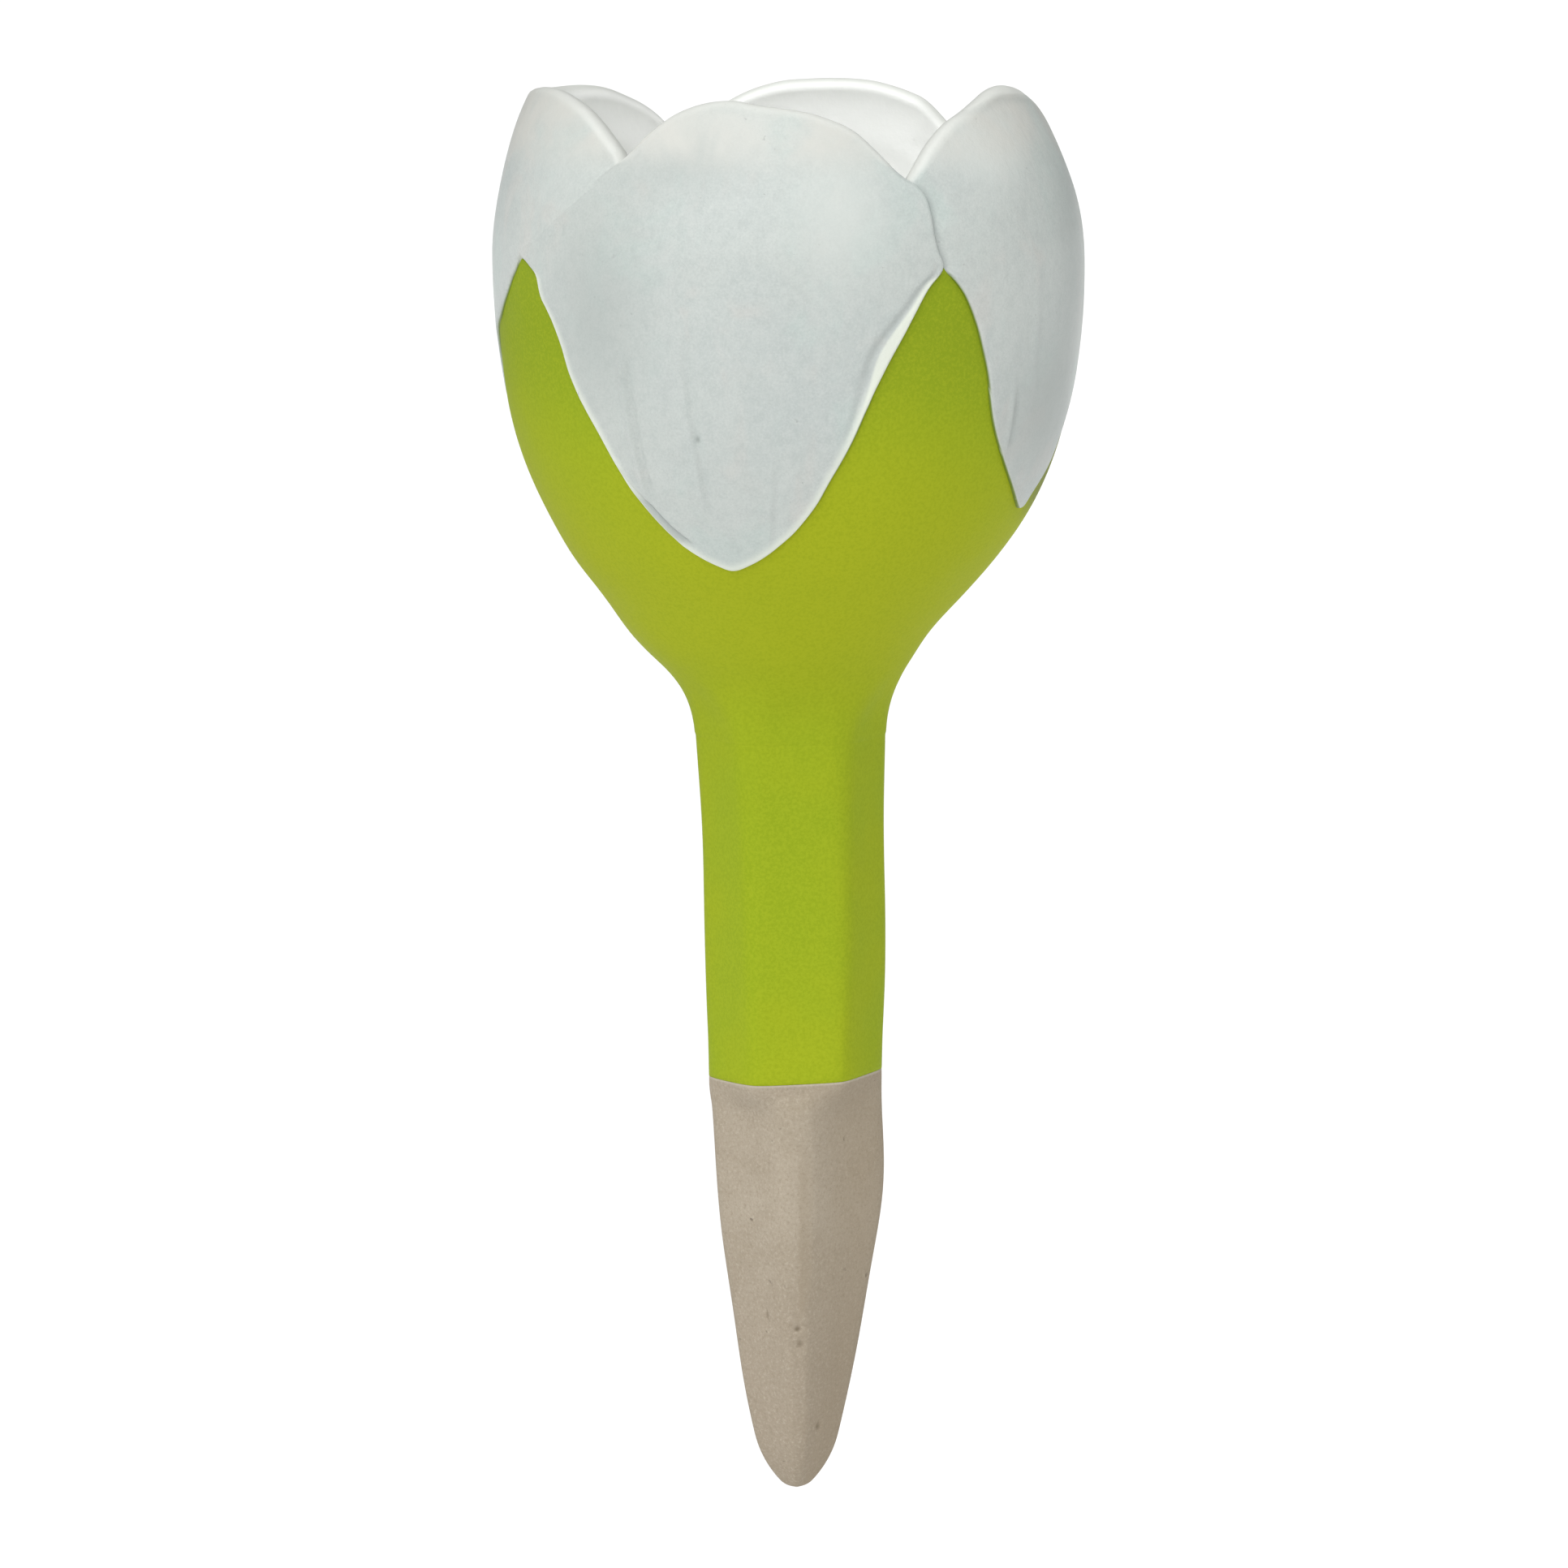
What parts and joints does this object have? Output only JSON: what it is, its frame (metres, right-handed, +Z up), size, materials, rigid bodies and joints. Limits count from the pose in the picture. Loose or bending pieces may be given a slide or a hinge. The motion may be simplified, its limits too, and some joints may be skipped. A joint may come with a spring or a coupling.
{
  "type": "plant watering spike",
  "caption": "Tulip-shaped ceramic watering spike with an open petal cup, a hollow stem and a porous clay cone.",
  "frame": {"origin": "on the spike's axis, at the joint between the green stem and the bare clay cone, where the soil's surface comes", "axes": "+Z up along the spike's axis, -Y towards the front petal, +X towards the right petal"},
  "size_m": [0.0842, 0.0842, 0.2032],
  "materials": {
    "white_glaze": "satin",
    "green_paint": "satin",
    "bare_clay": "matte",
    "cement": "matte"
  },
  "bodies": {
    "root": {"clay_cone": "bare_clay", "cone_cement": "cement", "stem_tube": "green_paint", "calyx_cup": "green_paint", "petal_front": "white_glaze", "petal_right": "white_glaze", "petal_back": "white_glaze", "petal_left": "white_glaze"}
  },
  "joints": []
}
